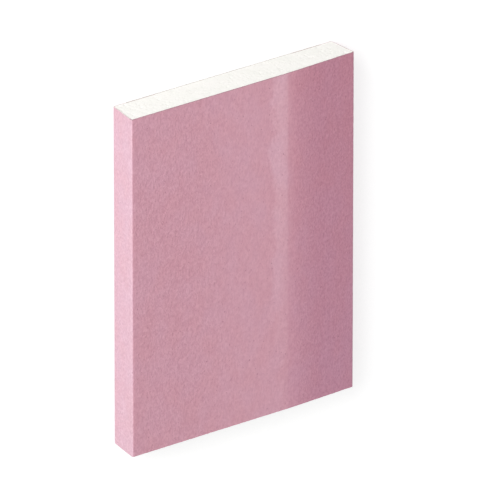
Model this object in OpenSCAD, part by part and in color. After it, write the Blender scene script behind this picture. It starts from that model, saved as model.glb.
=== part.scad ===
// Drywall sheet: a cut piece of pink fire-rated gypsum board, lying on its back with its face up.
// The gypsum core is cast between two papers. The face paper wraps both long edges and is folded
// under onto the back, where the back paper is glued over it. The two short ends are sawn, so the
// core and the cut edges of both papers show there.
// X runs across the board, Y along it, and Z up from its back. All sizes are in millimetres.

/* [Board] */
// Width across the face, to where the folded edges would be sharp
board_width = 110; // [90:1:1200]
// Length between the sawn ends
board_length = 150; // [50:1:3000]
// Thickness over the flat of the face, with both papers
board_thickness = 15; // [9.5:0.5:25]

/* [Long edges] */
// Width of the tapered strip along the right-hand edge of the face
taper_width = 33; // [25:1:60]
// Depth of that taper at the edge
taper_depth = 1.2; // [0.6:0.1:2.5]
// Radius of the soft bend where the flat of the face runs into the taper
shoulder_radius = 150; // [40:10:200]
// How far each long edge leans in, from the face down to the back
edge_lean = 1.5; // [0:0.1:3]
// Outside radius of the face paper at its folds
fold_radius = 1.2; // [0.8:0.1:3]

/* [Paper] */
// Thickness of the paper, the same on the face and on the back
paper_thickness = 0.4; // [0.2:0.05:0.6]
// Width of the strip of face paper left bare on the back, along each long edge
back_margin = 6; // [4:0.5:15]
// Width of the lap, where the face paper runs on between the core and the back paper
lap_width = 14; // [6:0.5:25]

/* [Hidden] */

half_width = board_width / 2;
back_half_width = half_width - edge_lean;
back_paper_half_width = back_half_width - back_margin;

// Short straight steps that make up each round stretch of the section
arc_steps = 8;

// Corners of the section as if they were sharp, anticlockwise from the left of the back
corners = [
    [-back_half_width, 0],
    [back_half_width, 0],
    [half_width, board_thickness - taper_depth],
    [half_width - taper_width, board_thickness],
    [-half_width, board_thickness]
];

// Outside radius at each of those corners
corner_radii = [fold_radius, fold_radius, fold_radius, shoulder_radius, fold_radius];

function unit(v) = v / norm(v);
function corner_before(i) = (i + len(corners) - 1) % len(corners);
function corner_after(i) = (i + 1) % len(corners);

// Corner i once every side of the section has moved inwards by depth
function inset_corner(i, depth) =
    let (
        side_in = unit(corners[i] - corners[corner_before(i)]),
        side_out = unit(corners[corner_after(i)] - corners[i])
    )
    corners[i] + depth * (side_out - side_in) / cross(side_in, side_out);

// Points along the arc that rounds corner i, about the same centre at every depth
function corner_arc(i, depth) =
    let (
        tip = inset_corner(i, depth),
        to_before = unit(inset_corner(corner_before(i), depth) - tip),
        to_after = unit(inset_corner(corner_after(i), depth) - tip),
        half_angle = acos(to_before * to_after) / 2,
        radius = corner_radii[i] - depth,
        centre = tip + unit(to_before + to_after) * radius / sin(half_angle),
        first_spoke = tip + to_before * radius / tan(half_angle) - centre,
        first_angle = atan2(first_spoke.y, first_spoke.x),
        sweep = 180 - 2 * half_angle
    )
    [
        for (step = [0 : arc_steps])
            let (angle = first_angle + sweep * step / arc_steps)
            centre + radius * [cos(angle), sin(angle)]
    ];

// Outline of the board's section, or of the same section cut back by depth on every side
function board_outline(depth) = [
    for (i = [0 : len(corners) - 1]) each corner_arc(i, depth)
];

// Stands a section upright and runs it along the length of the board
module along_board() {
    rotate([90, 0, 0])
        linear_extrude(height = board_length, center = true)
            children();
}

// The two strips where the face paper steps up by one thickness and runs in over the back paper
module lap_section() {
    for (flip = [0, 1])
        mirror([flip, 0])
            translate([back_paper_half_width, 0]) {
                square([paper_thickness, 2 * paper_thickness]);
                translate([-lap_width, paper_thickness])
                    square([lap_width + paper_thickness, paper_thickness]);
            }
}

module back_paper_section() {
    translate([-back_paper_half_width, 0])
        square([2 * back_paper_half_width, paper_thickness]);
}

// White gypsum, with a shallow step along each side of its back where the face paper laps in
module gypsum_core() {
    color([0.95, 0.94, 0.92])
        along_board()
            difference() {
                polygon(board_outline(paper_thickness));
                lap_section();
            }
}

// Pink paper over the face, round both long edges and in under the back paper
module face_paper() {
    color([0.82, 0.62, 0.68])
        along_board() {
            difference() {
                polygon(board_outline(0));
                polygon(board_outline(paper_thickness));
                back_paper_section();
            }
            lap_section();
        }
}

// Grey-buff paper over the back, flush with the folded strips on either side of it
module back_paper() {
    color([0.70, 0.65, 0.58])
        along_board()
            back_paper_section();
}

gypsum_core();
face_paper();
back_paper();
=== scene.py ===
import math

import bmesh
import bpy
from mathutils import Matrix, Vector


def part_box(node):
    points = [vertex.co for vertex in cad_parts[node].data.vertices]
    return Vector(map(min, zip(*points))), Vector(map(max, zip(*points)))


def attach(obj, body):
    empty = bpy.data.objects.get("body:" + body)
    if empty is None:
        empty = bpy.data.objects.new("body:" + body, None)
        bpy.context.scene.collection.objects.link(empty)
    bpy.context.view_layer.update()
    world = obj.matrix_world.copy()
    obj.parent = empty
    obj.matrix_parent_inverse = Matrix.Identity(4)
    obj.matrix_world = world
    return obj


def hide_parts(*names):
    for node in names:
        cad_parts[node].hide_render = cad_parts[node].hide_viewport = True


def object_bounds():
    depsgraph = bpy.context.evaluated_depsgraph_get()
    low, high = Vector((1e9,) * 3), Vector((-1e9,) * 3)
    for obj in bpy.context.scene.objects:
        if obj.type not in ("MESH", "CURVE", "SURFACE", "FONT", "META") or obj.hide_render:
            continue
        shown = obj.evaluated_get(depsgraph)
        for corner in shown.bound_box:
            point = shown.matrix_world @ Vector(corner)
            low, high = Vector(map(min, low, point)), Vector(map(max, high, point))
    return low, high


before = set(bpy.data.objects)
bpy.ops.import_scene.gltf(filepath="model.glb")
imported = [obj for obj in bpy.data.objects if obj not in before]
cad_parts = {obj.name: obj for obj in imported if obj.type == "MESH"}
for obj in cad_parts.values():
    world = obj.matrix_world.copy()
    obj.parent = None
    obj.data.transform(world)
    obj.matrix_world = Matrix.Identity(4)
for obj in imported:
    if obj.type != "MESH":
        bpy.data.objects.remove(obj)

cad_low, cad_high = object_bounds()


# Gypsum core
# Set gypsum with a little glass fibre, poured wet between the two papers and sawn to length when hard.
# The papers are bonded to it all round, so only the sawn ends show: chalk white and finely pitted.

board_length = cad_high.y - cad_low.y
half_length = board_length / 2
board_thickness = cad_high.z - cad_low.z
back_paper_low, back_paper_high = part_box("back_paper")
back_paper_half_width = back_paper_high.x
paper_thickness = back_paper_high.z - back_paper_low.z
back_margin = 0.006  # strip of face paper left bare on the back, along each long edge
lap_width = 0.014  # how far the face paper runs in under the back paper
edge_lean = 0.0015  # how far a long edge leans in, from the face down to the back
taper_width = 0.033
taper_depth = 0.0012
fold_radius = 0.0007  # outside radius of the face paper at its creases
fold_steps = 6  # flat steps round each bend of the paper
back_half_width = back_paper_half_width + back_margin
board_half_width = back_half_width + edge_lean  # to where the folded edges would be sharp
shoulder_x = board_half_width - taper_width

bond_gap = 0.00002  # keeps the core's faces off the papers' own
edge_slope = edge_lean / board_thickness
core_half_width = board_half_width - paper_thickness * (1 + edge_slope) - bond_gap
core_base_z = paper_thickness
core_top_z = board_thickness - paper_thickness
core_height = core_top_z - core_base_z
core_lean = edge_slope * core_height
sawn_grid = 0.0004  # spacing of the cuts that carry the sawn ends' relief
close = 0.00001  # nearer than this counts as the same place
facing = 0.9  # a face is turned to an axis when its normal has this share along it
smooth_angle = math.radians(40)  # edges bent more than this are shaded sharp


def new_plane(name, width, depth, centre, tilt=0.0):
    """A plane about its centre, tilted about X, with its place in its mesh, left open for editing."""
    bpy.ops.object.select_all(action="DESELECT")
    bpy.ops.mesh.primitive_plane_add(size=1, location=centre, rotation=(tilt, 0, 0))
    piece = bpy.context.object
    piece.name = name
    piece.data.name = name
    piece.scale = (width, depth, 1)
    bpy.ops.object.transform_apply(location=True, rotation=True, scale=True)
    bpy.ops.object.mode_set(mode="EDIT")
    return piece


def pick(kind, test):
    """Selects the points, edges or faces, as kind says, that pass the test, and nothing else."""
    bpy.ops.mesh.select_mode(type=kind)
    bpy.ops.mesh.select_all(action="DESELECT")
    mesh = bmesh.from_edit_mesh(bpy.context.object.data)
    items = {"VERT": mesh.verts, "EDGE": mesh.edges, "FACE": mesh.faces}[kind]
    for item in items:
        item.select_set(bool(test(item)))
    mesh.select_flush_mode()
    bmesh.update_edit_mesh(bpy.context.object.data)


def cut_through(point, normal, test=lambda face: True):
    """Cuts the faces that pass the test along a plane and keeps both sides."""
    pick("FACE", test)
    bpy.ops.mesh.bisect(plane_co=point, plane_no=normal)


def spaced(low, high, gap):
    """Even places strictly between two ends, about gap apart."""
    count = round((high - low) / gap)
    return [low + (high - low) * i / count for i in range(1, count)]


core = new_plane(
    "gypsum_core_sawn",
    2 * core_half_width,
    core_height,
    (0, -half_length, board_thickness / 2),
    tilt=math.pi / 2,
)
cut_through((shoulder_x, 0, 0), (1, 0, 0))
pick("VERT", lambda v: v.co.x > core_half_width - close and v.co.z > core_top_z - close)
bpy.ops.transform.translate(value=(0, 0, -taper_depth))
for side in (-1, 1):
    pick("VERT", lambda v: v.co.x * side > core_half_width - close and v.co.z < core_base_z + close)
    bpy.ops.transform.translate(value=(-side * core_lean, 0, 0))
pick("VERT", lambda v: abs(v.co.x) > core_half_width - core_lean - close)
bpy.ops.mesh.bevel(offset=fold_radius - paper_thickness, segments=fold_steps, affect="VERTICES")

# the step along each side of the back, where the face paper laps in
lap_inner_x = back_paper_half_width - lap_width
lap_outer_x = back_paper_half_width + paper_thickness
lap_top_z = 2 * paper_thickness
for x in (-lap_outer_x, -lap_inner_x, lap_inner_x, lap_outer_x):
    cut_through((x, 0, 0), (1, 0, 0))
cut_through((0, 0, lap_top_z), (0, 0, 1))
for x in spaced(-core_half_width, core_half_width, sawn_grid):
    cut_through((x, 0, 0), (1, 0, 0))
for z in spaced(lap_top_z, core_top_z, sawn_grid):
    cut_through((0, 0, z), (0, 0, 1))


def in_lap(face):
    """Whether a face of the section lies where the face paper laps in."""
    place = face.calc_center_median()
    return place.z < lap_top_z and lap_inner_x < abs(place.x) < lap_outer_x


pick("FACE", in_lap)
bpy.ops.mesh.delete(type="FACE")
bpy.ops.mesh.select_all(action="SELECT")
bpy.ops.mesh.extrude_region_move(TRANSFORM_OT_translate={"value": (0, board_length, 0)})
bpy.ops.mesh.select_all(action="SELECT")
bpy.ops.mesh.normals_make_consistent(inside=False)
bpy.ops.object.mode_set(mode="OBJECT")


def name_points(piece, name, points):
    """Keeps a list of points as a named group of the piece."""
    piece.vertex_groups.new(name=name).add(points, 1.0, "REPLACE")


def cloud_texture(name, lump, detail, floor=0.0, ceiling=1.0):
    """Soft lumps of about that size in metres, with the values between floor and ceiling drawn out."""
    texture = bpy.data.textures.new(name, "CLOUDS")
    texture.noise_scale = lump
    texture.noise_depth = detail
    texture.use_color_ramp = True
    texture.color_ramp.elements[0].position = floor
    texture.color_ramp.elements[0].color = (0, 0, 0, 1)
    texture.color_ramp.elements[1].position = ceiling
    texture.color_ramp.elements[1].color = (1, 1, 1, 1)
    return texture


def displace(piece, texture, height, group, direction="NORMAL"):
    """Moves the points of a group along a direction by height times the texture, and makes it final."""
    modifier = piece.modifiers.new(texture.name, "DISPLACE")
    modifier.texture = texture
    modifier.texture_coords = "LOCAL"
    modifier.direction = direction
    modifier.vertex_group = group
    modifier.mid_level = 0
    modifier.strength = height
    bpy.ops.object.modifier_apply(modifier=modifier.name)


# the relief of the sawn ends, which leaves the points on their rims where the papers meet them
grain_depth = 0.00010
bubble_depth = 0.00028
rim = {i for face in core.data.polygons if abs(face.normal.y) < facing for i in face.vertices}
name_points(core, "sawn_ends", [v.index for v in core.data.vertices if v.index not in rim])
displace(core, cloud_texture("saw_grain", lump=0.0022, detail=3), -grain_depth, "sawn_ends")
air_bubbles = cloud_texture("air_bubbles", lump=0.0009, detail=1, floor=0.66, ceiling=0.82)
displace(core, air_bubbles, -bubble_depth, "sawn_ends")
bpy.ops.object.shade_smooth_by_angle(angle=smooth_angle)


def srgb(red, green, blue):
    """A colour as it looks on a screen, from 0 to 255, as the linear colour that a shader takes."""
    shares = (red / 255, green / 255, blue / 255)
    return tuple(s / 12.92 if s <= 0.04045 else ((s + 0.055) / 1.055) ** 2.4 for s in shares) + (1.0,)


def new_material(name, roughness, specular=0.25):
    """A matte material with its node tree, its shader and the sockets that give place and direction."""
    material = bpy.data.materials.new(name)
    material.use_nodes = True
    tree = material.node_tree
    shader = tree.nodes["Principled BSDF"]
    shader.inputs["Roughness"].default_value = roughness
    shader.inputs["Specular IOR Level"].default_value = specular
    return material, tree, shader, tree.nodes.new("ShaderNodeTexCoord").outputs


def noise(tree, place, lump, detail, stretch=(1, 1, 1)):
    """Noise from 0 to 1 with lumps of about that size in metres, drawn out along the axes by stretch."""
    mapping = tree.nodes.new("ShaderNodeMapping")
    mapping.inputs["Scale"].default_value = [1 / (lump * s) for s in stretch]
    tree.links.new(place, mapping.inputs["Vector"])
    texture = tree.nodes.new("ShaderNodeTexNoise")
    texture.inputs["Scale"].default_value = 1.0
    texture.inputs["Detail"].default_value = detail
    tree.links.new(mapping.outputs["Vector"], texture.inputs["Vector"])
    return texture.outputs["Fac"]


def ease(tree, value, start, end):
    """0 up to start and 1 from end on, with a soft step between. It runs downwards if end is the lower."""
    step = tree.nodes.new("ShaderNodeMapRange")
    step.interpolation_type = "SMOOTHSTEP"
    step.inputs["From Min"].default_value = start
    step.inputs["From Max"].default_value = end
    tree.links.new(value, step.inputs["Value"])
    return step.outputs["Result"]


def plug(tree, source, socket):
    """Links a socket, or sets a plain value."""
    if isinstance(source, bpy.types.NodeSocket):
        tree.links.new(source, socket)
    else:
        socket.default_value = source


def sums(tree, how, first, second=0.0):
    """One step of arithmetic on numbers or sockets."""
    step = tree.nodes.new("ShaderNodeMath")
    step.operation = how
    plug(tree, first, step.inputs[0])
    plug(tree, second, step.inputs[1])
    return step.outputs[0]


def scaled(tree, value, factor):
    """A number from a socket times a factor, which may be a socket too."""
    return sums(tree, "MULTIPLY", value, factor)


def mixed(tree, share, first, second, how="MIX"):
    """The first colour turning into the second as share goes from 0 to 1."""
    mix = tree.nodes.new("ShaderNodeMix")
    mix.data_type = "RGBA"
    mix.blend_type = how
    plug(tree, share, mix.inputs[0])
    plug(tree, first, mix.inputs[6])
    plug(tree, second, mix.inputs[7])
    return mix.outputs[2]


def bump(tree, shader, height, distance):
    """Fine relief of that depth in metres, too small to be in the mesh."""
    relief = tree.nodes.new("ShaderNodeBump")
    relief.inputs["Distance"].default_value = distance
    tree.links.new(height, relief.inputs["Height"])
    tree.links.new(relief.outputs["Normal"], shader.inputs["Normal"])


chalk_white = srgb(248, 246, 242)
chalk_cream = srgb(245, 244, 239)
chalk_speck = srgb(233, 230, 224)
speck_strength = 0.5
dust_depth = 0.00006

chalk, tree, shader, coords = new_material("chalk_gypsum", roughness=0.92)
place = coords["Object"]
cloud = ease(tree, noise(tree, place, lump=0.007, detail=2), 0.35, 0.70)
speck = ease(tree, noise(tree, place, lump=0.0011, detail=2), 0.56, 0.72)
chalk_colour = mixed(tree, cloud, chalk_white, chalk_cream)
chalk_colour = mixed(tree, scaled(tree, speck, speck_strength), chalk_colour, chalk_speck)
tree.links.new(chalk_colour, shader.inputs["Base Color"])
bump(tree, shader, noise(tree, place, lump=0.0005, detail=3), dust_depth)
core.data.materials.append(chalk)
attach(core, "root")
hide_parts("gypsum_core")


# Face paper
# Heavy pink paper, run onto the line face down, with both sides creased, folded up round the wet core
# and in over it, so that it is the skin of the face and the long edges and laps in under the back paper.

shoulder_reach = 0.0027  # how far the soft bend at the top of the taper runs to either side

face_paper = new_plane(
    "face_paper_folded", 2 * board_half_width, board_length, (0, 0, board_thickness)
)
cut_through((shoulder_x, 0, 0), (1, 0, 0))
pick("VERT", lambda v: v.co.x > board_half_width - close)
bpy.ops.transform.translate(value=(0, 0, -taper_depth))
for side, edge_height in ((-1, board_thickness), (1, board_thickness - taper_depth)):
    pick("EDGE", lambda e: all(v.co.x * side > board_half_width - close for v in e.verts))
    folds = (
        (-side * edge_lean, 0, -edge_height),
        (-side * back_margin, 0, 0),
        (0, 0, paper_thickness),
        (-side * lap_width, 0, 0),
    )
    for fold in folds:
        bpy.ops.mesh.extrude_edges_move(TRANSFORM_OT_translate={"value": fold})


def runs_along(edge):
    """Whether an edge of the mesh runs along the board."""
    return abs(edge.verts[0].co.y - edge.verts[1].co.y) > close


pick("EDGE", lambda e: runs_along(e) and abs(e.verts[0].co.x) > back_half_width - close)
bpy.ops.mesh.bevel(offset=fold_radius, segments=fold_steps, affect="EDGES")
pick("EDGE", lambda e: runs_along(e) and abs(e.verts[0].co.x - shoulder_x) < close)
bpy.ops.mesh.bevel(offset=shoulder_reach, segments=fold_steps, affect="EDGES")

# close rows of points on the face, which carries the fine relief, and wider ones on the edges and laps
fine_grid = 0.0006
wide_grid = 0.0016
relief_rows = 170  # cuts across the board
for x in spaced(-back_half_width, back_half_width, fine_grid):
    cut_through((x, 0, 0), (1, 0, 0), lambda f: f.normal.z > facing)
for x in spaced(-back_half_width, back_half_width, wide_grid):
    cut_through((x, 0, 0), (1, 0, 0), lambda f: f.normal.z < -facing)
for z in spaced(fold_radius, board_thickness - fold_radius, wide_grid):
    cut_through((0, 0, z), (0, 0, 1), lambda f: abs(f.normal.x) > facing)
pick("EDGE", runs_along)
bpy.ops.mesh.subdivide(number_cuts=relief_rows)
bpy.ops.object.mode_set(mode="OBJECT")

wave_height = 0.00006
peel_height = 0.00009
name_points(face_paper, "open_skin", [v.index for v in face_paper.data.vertices if v.co.z > fold_radius])
displace(face_paper, cloud_texture("drying_waves", lump=0.016, detail=1), wave_height, "open_skin")
displace(face_paper, cloud_texture("orange_peel", lump=0.0011, detail=1), peel_height, "open_skin")


def thicken(piece):
    """Gives a sheet of paper its thickness, towards the inside of the board."""
    modifier = piece.modifiers.new("paper", "SOLIDIFY")
    modifier.thickness = paper_thickness
    modifier.offset = -1
    modifier.use_even_offset = True
    bpy.ops.object.modifier_apply(modifier=modifier.name)


def fray_ends(piece, texture, depth):
    """Draws the sawn ends of a paper back unevenly."""
    for name, end in (("front_end", 1), ("rear_end", -1)):
        points = [v.index for v in piece.data.vertices if v.co.y * end > half_length - close]
        name_points(piece, name, points)
        displace(piece, texture, -end * depth, name, direction="Y")


frayed_fibre = cloud_texture("frayed_fibre", lump=0.0012, detail=2, floor=0.35, ceiling=0.75)
fray_depth = 0.00012
thicken(face_paper)
fray_ends(face_paper, frayed_fibre, fray_depth)
bpy.ops.object.shade_smooth_by_angle(angle=smooth_angle)


def axes(tree, vector):
    """The X, Y and Z sockets of a place or a direction."""
    split = tree.nodes.new("ShaderNodeSeparateXYZ")
    tree.links.new(vector, split.inputs[0])
    return split.outputs


def tinted(tree, colour, tint, share=1.0):
    """A colour multiplied by a tint, by as much as share says."""
    return mixed(tree, share, colour, tint, how="MULTIPLY")


def on_cut_end(tree, normal_along):
    """1 on the sawn end of a paper, which faces along the board, and 0 on its sides."""
    return ease(tree, sums(tree, "ABSOLUTE", normal_along), 0.5, 0.9)


rose = srgb(208, 155, 170)
pale_rose = srgb(217, 169, 183)
# painted shade of the shoulder and the taper
shoulder_shade_rose = srgb(202, 147, 164)
taper_shade_rose = srgb(193, 137, 156)
# painted sheen of the folded edges
edge_sheen_rose = srgb(221, 182, 195)
cut_rose = srgb(164, 122, 132)
cut_ply = srgb(226, 215, 213)
fleck_rose = srgb(160, 108, 124)

pink, tree, shader, coords = new_material("pink_face_paper", roughness=0.72)
place = coords["Object"]
across, along, height = axes(tree, place)
normal_across, normal_along, normal_up = axes(tree, coords["Normal"])
fibre = noise(tree, place, lump=0.0007, detail=3, stretch=(1, 1.5, 1))
knot = noise(tree, place, lump=0.0012, detail=2, stretch=(1, 1.4, 1))
bloom = noise(tree, place, lump=0.009, detail=3, stretch=(1, 1.5, 1))

# a paler strip with a ragged side runs up to the shoulder, a painted highlight of the shoulder's bend, and
# the middle of the face is a little bleached
bloom_rag = 0.012
knot_rag = 0.006
strip_width = 0.0126
strip_core_width = 0.0050
strip_faint_y = -0.10
strip_full_y = 0.05
rough_x = -0.035  # the face is roughest and reddest left of here
bleached_x = 0.005
bleach_strength = 0.2
rag = sums(tree, "ADD", scaled(tree, bloom, bloom_rag), scaled(tree, knot, knot_rag))
ragged = sums(tree, "ADD", across, sums(tree, "SUBTRACT", rag, (bloom_rag + knot_rag) / 2))
highlight_strip_in = ease(tree, ragged, shoulder_x - strip_width, shoulder_x - strip_core_width)
shoulder_highlight_share = scaled(tree, highlight_strip_in, ease(tree, along, strip_faint_y, strip_full_y))
bleached = scaled(tree, ease(tree, across, rough_x, bleached_x), bleach_strength)
face_colour = mixed(tree, sums(tree, "MAXIMUM", shoulder_highlight_share, bleached), rose, pale_rose)

# painted shade: the shoulder is a fine darker line within a soft bend, and past it the taper is painted
# deeper, standing in for the shade of its slope turned from the lamp beyond what its real tilt gives, and
# it is warmer to the front
line_start_x = shoulder_x - 0.0012
line_end_x = shoulder_x + 0.0002
line_share = 0.4
bend_start_x = shoulder_x - 0.0045
bend_end_x = shoulder_x + 0.0052
taper_shade_start_x = shoulder_x + 0.001
taper_shade_end_x = shoulder_x + 0.018
cool_y = -0.06
warm_y = 0.07
cool_tint = (1, 1.01, 1.02, 1)
warm_tint = (1, 0.96, 0.95, 1)
shoulder_shade_line = scaled(tree, ease(tree, across, line_start_x, line_end_x), line_share)
shoulder_shade_bend = scaled(tree, ease(tree, across, bend_start_x, bend_end_x), 1 - line_share)
shoulder_shade_in = sums(tree, "ADD", shoulder_shade_line, shoulder_shade_bend)
face_colour = mixed(tree, shoulder_shade_in, face_colour, shoulder_shade_rose)
face_colour = mixed(tree, ease(tree, across, taper_shade_start_x, taper_shade_end_x), face_colour, taper_shade_rose)
warmth = mixed(tree, ease(tree, along, cool_y, warm_y), cool_tint, warm_tint)
face_colour = tinted(tree, face_colour, warmth, shoulder_shade_in)

# the folded edges are painted paler than the face, a painted sheen, and on the fold turned from the lamp
# painted light against its shade; the strips on the back have the plain colour of the paper
upward = ease(tree, normal_up, 0.0, 0.5)
sideways_sheen = ease(tree, sums(tree, "ABSOLUTE", normal_across), 0.08, 0.90)
skin = mixed(tree, upward, rose, face_colour)
skin = mixed(tree, sideways_sheen, skin, edge_sheen_rose)

# mottling: the fibre and its knots are painted a little darker in their hollows and lighter on their
# ridges, as painted shade and painted highlight of their relief, with broad soft blooms under them and a
# few flecks, and the fibre is pressed smooth along the middle of the face
smooth_x = 0.010
rough_again_x = shoulder_x + 0.006
smoothing = 0.35
fleck_strength = 0.55
# painted shade in the hollows and painted highlight on the ridges of the fibre and its knots
hollow_shade_tint = (0.93, 0.91, 0.92, 1)
ridge_highlight_tint = (1.06, 1.08, 1.07, 1)
knot_hollow_shade_tint = (0.975, 0.96, 0.97, 1)
knot_ridge_highlight_tint = (1.02, 1.03, 1.025, 1)
warm_bloom_tint = (1.0, 0.98, 0.97, 1)
cool_bloom_tint = (1.0, 1.02, 1.03, 1)
smooth_in = ease(tree, across, rough_x, smooth_x)
rough_in = ease(tree, across, shoulder_x, rough_again_x)
pressed = sums(tree, "SUBTRACT", smooth_in, rough_in)
fibre_shade_share = sums(tree, "SUBTRACT", 1.0, scaled(tree, pressed, smoothing))
fibre_relief_shade = mixed(tree, ease(tree, fibre, 0.30, 0.70), hollow_shade_tint, ridge_highlight_tint)
knot_relief_shade = mixed(tree, ease(tree, knot, 0.35, 0.65), knot_hollow_shade_tint, knot_ridge_highlight_tint)
blooms = mixed(tree, ease(tree, bloom, 0.30, 0.70), warm_bloom_tint, cool_bloom_tint)
skin = tinted(tree, skin, fibre_relief_shade, fibre_shade_share)
skin = tinted(tree, skin, knot_relief_shade)
skin = tinted(tree, skin, blooms)
fleck = ease(tree, noise(tree, place, lump=0.0010, detail=1, stretch=(1, 1.3, 1)), 0.70, 0.77)
fleck_share = scaled(tree, scaled(tree, fleck, upward), fleck_strength)
skin = mixed(tree, fleck_share, skin, fleck_rose)

# the cut ends of the paper show its pale inner ply on the edges, and its dyed ply along the face
edge_cut_z = board_thickness - 0.0022
face_cut_z = board_thickness - 0.0010
cut_colour = mixed(tree, ease(tree, height, edge_cut_z, face_cut_z), cut_ply, cut_rose)
skin = mixed(tree, on_cut_end(tree, normal_along), skin, cut_colour)
tree.links.new(skin, shader.inputs["Base Color"])

# the fibre stands up least where it is pressed
pressing = 0.65
knot_rise = 0.7
fibre_depth = 0.00022
stand = sums(tree, "SUBTRACT", 1.0, scaled(tree, pressed, pressing))
relief = sums(tree, "ADD", fibre, scaled(tree, knot, knot_rise))
bump(tree, shader, scaled(tree, relief, stand), fibre_depth)
face_paper.data.materials.append(pink)
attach(face_paper, "root")
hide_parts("face_paper")


# Back paper
# Plain grey-buff paper made from recycled fibre, laid over the back of the core and the two laps, and
# glued down on them. It stops short of the long edges, and is sawn off flush with the core at the ends.

seam_gap = 0.0001  # between its sides and the folded strips of face paper

back_paper = new_plane(
    "back_paper_liner", 2 * (back_paper_half_width - seam_gap), board_length, (0, 0, 0)
)
bpy.ops.mesh.select_all(action="SELECT")
bpy.ops.mesh.flip_normals()
for x in spaced(-back_paper_half_width, back_paper_half_width, fine_grid):
    cut_through((x, 0, 0), (1, 0, 0))
for y in spaced(-half_length, half_length, wide_grid):
    cut_through((0, y, 0), (0, 1, 0))
bpy.ops.object.mode_set(mode="OBJECT")
thicken(back_paper)
fray_ends(back_paper, frayed_fibre, fray_depth)
bpy.ops.object.shade_smooth_by_angle(angle=smooth_angle)

dull_buff = srgb(175, 164, 148)
light_buff = srgb(183, 172, 156)
dark_fibre = srgb(150, 137, 121)
pale_fibre = srgb(202, 194, 182)
cut_grey = srgb(204, 198, 192)
fibre_depth = 0.00012

grey, tree, shader, coords = new_material("grey_back_paper", roughness=0.85)
place = coords["Object"]
fibre = noise(tree, place, lump=0.0009, detail=3, stretch=(1, 2.5, 1))
pulp = noise(tree, place, lump=0.005, detail=3, stretch=(1, 1.6, 1))
buff = mixed(tree, ease(tree, pulp, 0.30, 0.70), dull_buff, light_buff)
buff = mixed(tree, ease(tree, fibre, 0.58, 0.72), buff, dark_fibre)
buff = mixed(tree, ease(tree, fibre, 0.38, 0.26), buff, pale_fibre)
normal_along = axes(tree, coords["Normal"])["Y"]
buff = mixed(tree, on_cut_end(tree, normal_along), buff, cut_grey)
tree.links.new(buff, shader.inputs["Base Color"])
bump(tree, shader, fibre, fibre_depth)
back_paper.data.materials.append(grey)
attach(back_paper, "root")
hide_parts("back_paper")


# Floor, lights and camera
# A white studio floor with soft light from the upper left, and a long lens that looks down on the board
# as it lies, turned so that its length runs up the picture.

white = (1, 1, 1, 1)
floor_grey = (0.75, 0.75, 0.75, 1)
floor_glow = 0.46
floor_width = 8
floor_drop = 0.0002  # keeps the floor off the back of the board
under_board = 0.0015  # the floor is clear to a ray that starts nearer to it than this


def seen_directly(tree):
    """1 for a ray from the camera, a gloss or a glass, and 0 for one that gathers light."""
    ray = tree.nodes.new("ShaderNodeLightPath").outputs
    seen = sums(tree, "ADD", ray["Is Camera Ray"], ray["Is Glossy Ray"])
    return sums(tree, "MINIMUM", sums(tree, "ADD", seen, ray["Is Transmission Ray"]), 1.0)


floor = new_plane("studio_floor", floor_width, floor_width, (0, 0, -floor_drop))
bpy.ops.object.mode_set(mode="OBJECT")
floor_white = bpy.data.materials.new("floor_white")
floor_white.use_nodes = True
tree = floor_white.node_tree
tree.nodes.clear()
output = tree.nodes.new("ShaderNodeOutputMaterial")
matte = tree.nodes.new("ShaderNodeBsdfDiffuse")
matte.inputs["Color"].default_value = floor_grey
glow = tree.nodes.new("ShaderNodeEmission")
glow.inputs["Color"].default_value = white
tree.links.new(scaled(tree, seen_directly(tree), floor_glow), glow.inputs["Strength"])
lit_side = tree.nodes.new("ShaderNodeAddShader")
tree.links.new(matte.outputs[0], lit_side.inputs[0])
tree.links.new(glow.outputs[0], lit_side.inputs[1])

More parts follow.
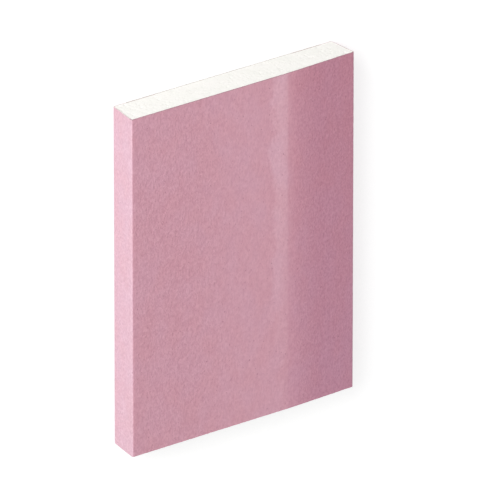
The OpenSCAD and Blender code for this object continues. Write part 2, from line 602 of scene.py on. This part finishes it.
# the floor is clear from below and close under the board, so that the back can be seen and is lit
clear = tree.nodes.new("ShaderNodeBsdfTransparent")
from_below = tree.nodes.new("ShaderNodeNewGeometry").outputs["Backfacing"]
ray_length = tree.nodes.new("ShaderNodeLightPath").outputs["Ray Length"]
open_floor = sums(tree, "MAXIMUM", from_below, sums(tree, "LESS_THAN", ray_length, under_board))
sided = tree.nodes.new("ShaderNodeMixShader")
tree.links.new(open_floor, sided.inputs[0])
tree.links.new(lit_side.outputs[0], sided.inputs[1])
tree.links.new(clear.outputs[0], sided.inputs[2])
tree.links.new(sided.outputs[0], output.inputs["Surface"])
floor.data.materials.append(floor_white)

sky_level = 0.60
world = bpy.data.worlds.new("studio_sky")
bpy.context.scene.world = world
world.use_nodes = True
tree = world.node_tree
sky = tree.nodes["Background"]
sky.inputs["Color"].default_value = white
lift = scaled(tree, seen_directly(tree), 1.0 - sky_level)
tree.links.new(sums(tree, "ADD", lift, sky_level), sky.inputs["Strength"])


def soft_light(name, direction, distance, size, power):
    """A square light that stands off in a direction and faces the middle of the board."""
    lamp = bpy.data.lights.new(name, "AREA")
    lamp.size = size
    lamp.energy = power
    holder = bpy.data.objects.new(name, lamp)
    bpy.context.collection.objects.link(holder)
    stand = Vector(direction).normalized() * distance
    holder.location = stand
    holder.rotation_euler = stand.to_track_quat("Z", "Y").to_euler()
    holder.visible_camera = False


soft_light("key_light", direction=(-0.62, 0.43, 0.35), distance=2.0, size=1.3, power=32.0)

camera_turn = math.radians(-129.87)
camera_rise = math.radians(47.34)
camera_roll = math.radians(121.58)
camera_stand = Vector((0.01098, -0.00324, 6.4454))  # right, up and back from the origin, in the picture
sensor_width = 36
focal_length = 1152
lens = bpy.data.cameras.new("camera")
lens.sensor_width = sensor_width
lens.lens = focal_length
camera = bpy.data.objects.new("camera", lens)
bpy.context.collection.objects.link(camera)
pointing = (
    Matrix.Rotation(camera_turn, 4, "Z")
    @ Matrix.Rotation(math.pi / 2 - camera_rise, 4, "X")
    @ Matrix.Rotation(camera_roll, 4, "Z")
)
camera.matrix_world = Matrix.Translation(pointing @ camera_stand) @ pointing
bpy.context.scene.camera = camera
bpy.context.scene.view_settings.view_transform = "Standard"
